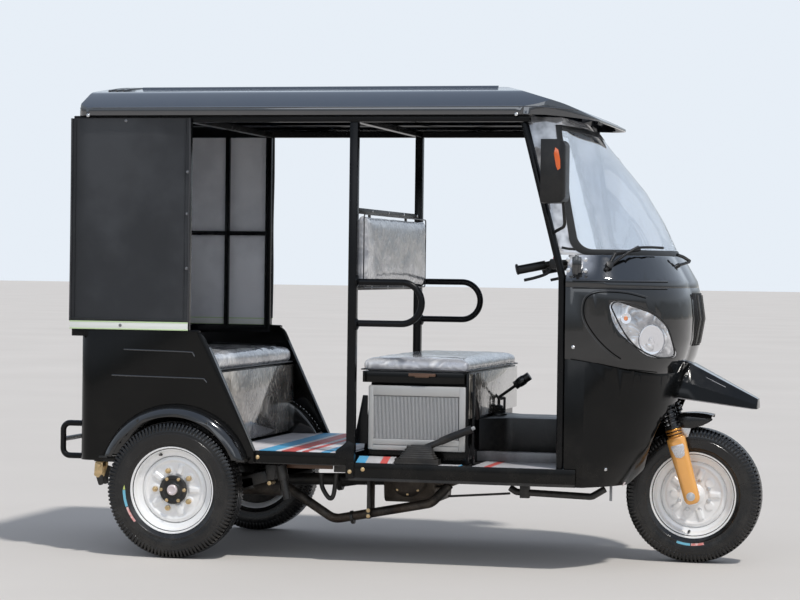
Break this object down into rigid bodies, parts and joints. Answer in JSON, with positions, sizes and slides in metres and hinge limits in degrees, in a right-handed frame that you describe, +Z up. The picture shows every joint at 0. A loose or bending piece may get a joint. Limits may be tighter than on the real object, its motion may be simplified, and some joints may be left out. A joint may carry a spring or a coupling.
{
  "type": "auto rickshaw",
  "caption": "Three-wheeled passenger auto rickshaw with an open cab, steered front wheel, rear tub with curtains, framed roof and curved windscreen.",
  "frame": {"origin": "on the ground, below the middle of the vehicle's box", "axes": "+X forward, the way it drives, +Y to the vehicle's left, +Z up"},
  "size_m": [2.7105, 1.38, 1.84],
  "materials": {
    "body_paint": "gloss black",
    "frame_paint": "semi-gloss black",
    "roof_paint": "gloss black",
    "floor_paint": "satin dark grey",
    "rim_paint": "satin silver",
    "tyre": "matte black",
    "fork_paint": "gloss orange",
    "steel_black": "satin black",
    "engine_alloy": "satin",
    "exhaust_steel": "satin",
    "radiator_alloy": "satin",
    "seat_vinyl": "satin",
    "curtain_cloth": "satin",
    "window_film": "clear",
    "glass": "clear",
    "seal_rubber": "matte",
    "plastic_black": "matte",
    "lamp_clear": "clear",
    "lamp_red": "gloss"
  },
  "bodies": {
    "body": {"a_pillars": "frame_paint", "backrest_frame": "frame_paint", "chassis_frame": "frame_paint", "cowl_top": "body_paint", "dashboard": "plastic_black", "driver_backrest": "seat_vinyl", "driver_cushion": "seat_vinyl", "driver_seat_box": "frame_paint", "engine_block": "engine_alloy", "exhaust": "exhaust_steel", "front_cowl": "body_paint", "front_floor": "floor_paint", "gear_lever": "plastic_black", "grille": "plastic_black", "handbrake": "plastic_black", "handrails": "frame_paint", "headlamps": "lamp_clear", "leg_shield": "body_paint", "mid_posts": "frame_paint", "mirrors": "plastic_black", "nose_beak": "body_paint", "radiator": "radiator_alloy", "rear_axle": "steel_black", "rear_backrest": "seat_vinyl", "rear_bumper": "frame_paint", "rear_curtain": "curtain_cloth", "rear_floor": "floor_paint", "rear_seat_box": "frame_paint", "rear_seat_cushion": "seat_vinyl", "rear_side_frames": "frame_paint", "rear_suspension": "steel_black", "rear_window": "window_film", "roof_frame": "frame_paint", "roof_shell": "roof_paint", "side_curtains": "curtain_cloth", "tail_lamps": "lamp_red", "tub_rear_panel": "body_paint", "tub_sides": "body_paint", "tunnel_cover": "plastic_black", "wheel_arches": "body_paint", "windscreen": "glass", "windscreen_frame": "body_paint", "windscreen_seal": "seal_rubber", "wiper": "plastic_black"},
    "steering": {"fork": "fork_paint", "handlebar": "plastic_black", "front_mudguard": "plastic_black"},
    "front_wheel": {"wheel_front": "rim_paint", "tyre_front": "tyre"},
    "rear_wheel_left": {"wheel_rear_left": "rim_paint", "tyre_rear_left": "tyre"},
    "rear_wheel_right": {"wheel_rear_right": "rim_paint", "tyre_rear_right": "tyre"}
  },
  "joints": [
    {"name": "steering_turn", "type": "hinge", "parent": "body", "child": "steering", "pos_m": [0.93807, 0, 0.7], "axis": [-0.2756, 0, 0.9613], "range_deg": [-38, 38]},
    {"name": "front_wheel_spin", "type": "hinge", "parent": "steering", "child": "front_wheel", "pos_m": [1.09488, 0, 0.262], "axis": [0, 1, 0], "continuous": true},
    {"name": "rear_wheel_left_spin", "type": "hinge", "parent": "body", "child": "rear_wheel_left", "pos_m": [-0.84212, 0.545, 0.262], "axis": [0, 1, 0], "continuous": true},
    {"name": "rear_wheel_right_spin", "type": "hinge", "parent": "body", "child": "rear_wheel_right", "pos_m": [-0.84212, -0.545, 0.262], "axis": [0, 1, 0], "continuous": true}
  ]
}
